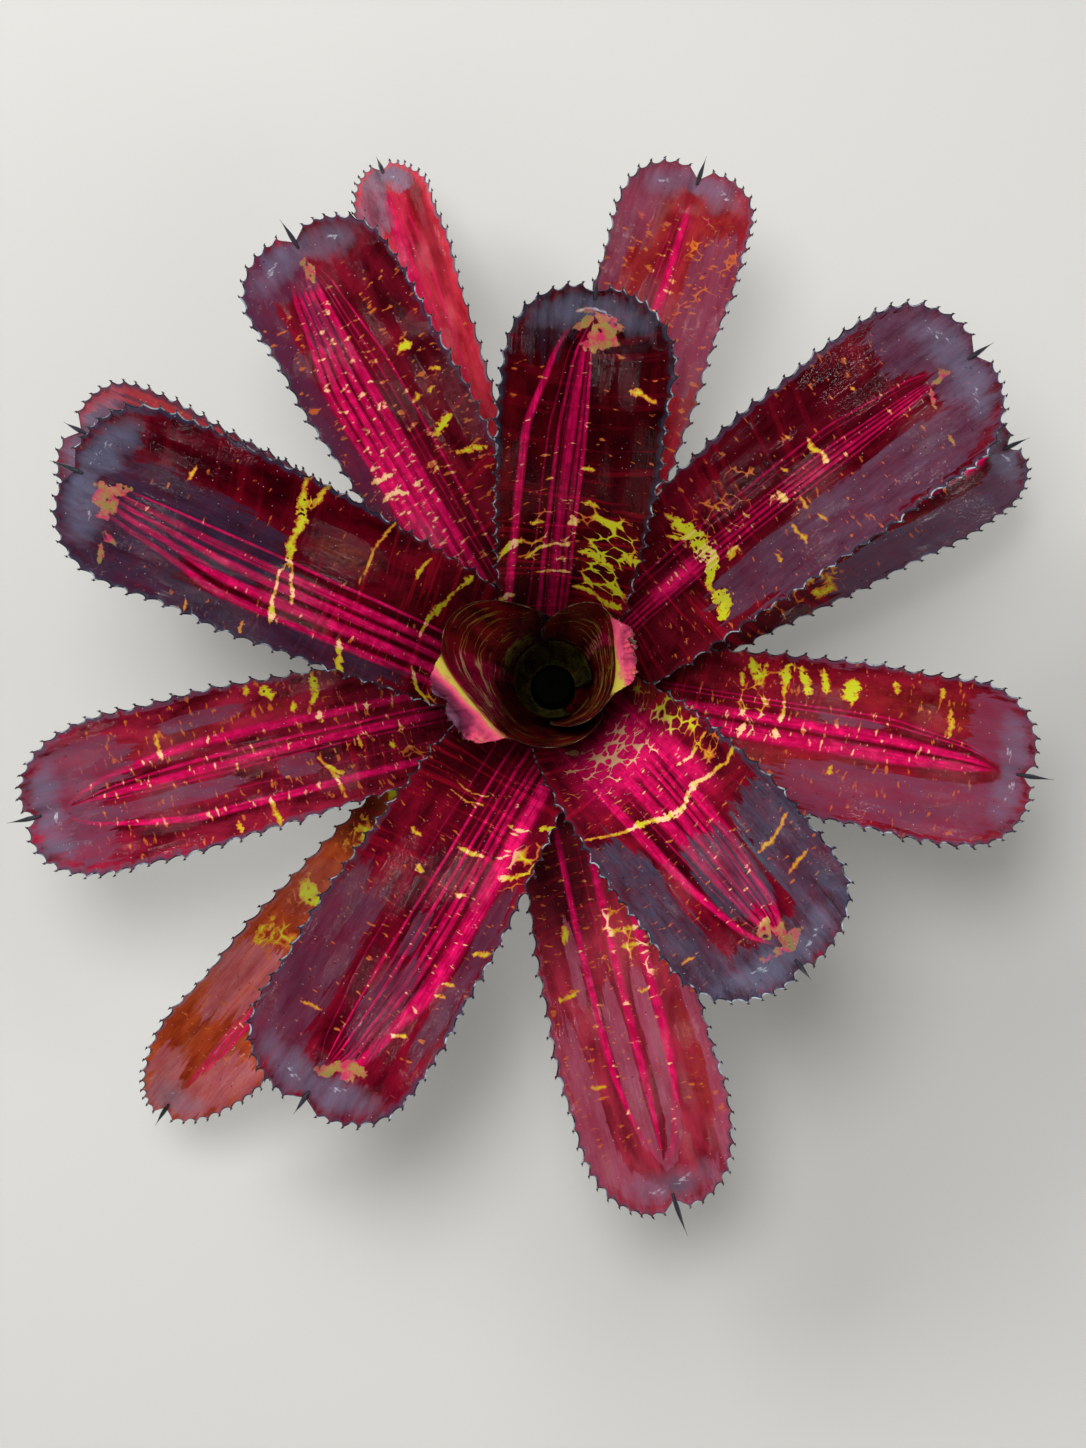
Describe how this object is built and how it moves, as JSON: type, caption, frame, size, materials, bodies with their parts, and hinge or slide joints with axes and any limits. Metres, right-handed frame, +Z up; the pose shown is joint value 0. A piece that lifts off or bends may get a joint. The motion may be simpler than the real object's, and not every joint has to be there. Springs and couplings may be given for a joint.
{
  "type": "neoregelia bromeliad plant",
  "caption": "Bromeliad rosette of arching toothed strap leaves round a rolled central cup, standing on the cut end of its stem.",
  "frame": {"origin": "centre of the flat cut end of the stem, on which the plant stands", "axes": "+Z up along the stem through the middle of the cup, +Y the side toward which the broad upright leaf_04 leans, +X to the right seen from above"},
  "size_m": [0.4475, 0.489, 0.2319],
  "materials": {
    "stem_tissue": "matt, fibrous cut stem",
    "cup_leaf": "glossy, dark maroon with olive streaks",
    "strap_leaf": "glossy, maroon with pink stripes, grey bloom and dark horny teeth"
  },
  "bodies": {
    "root": {"stem": "stem_tissue", "leaf_01": "cup_leaf", "leaf_02": "cup_leaf", "leaf_03": "cup_leaf", "leaf_04": "strap_leaf", "leaf_05": "strap_leaf", "leaf_06": "strap_leaf", "leaf_07": "strap_leaf", "leaf_08": "strap_leaf", "leaf_09": "strap_leaf", "leaf_10": "strap_leaf", "leaf_11": "strap_leaf", "leaf_12": "strap_leaf", "leaf_13": "strap_leaf", "leaf_14": "strap_leaf", "leaf_15": "strap_leaf", "leaf_16": "strap_leaf", "leaf_17": "strap_leaf"}
  },
  "joints": []
}
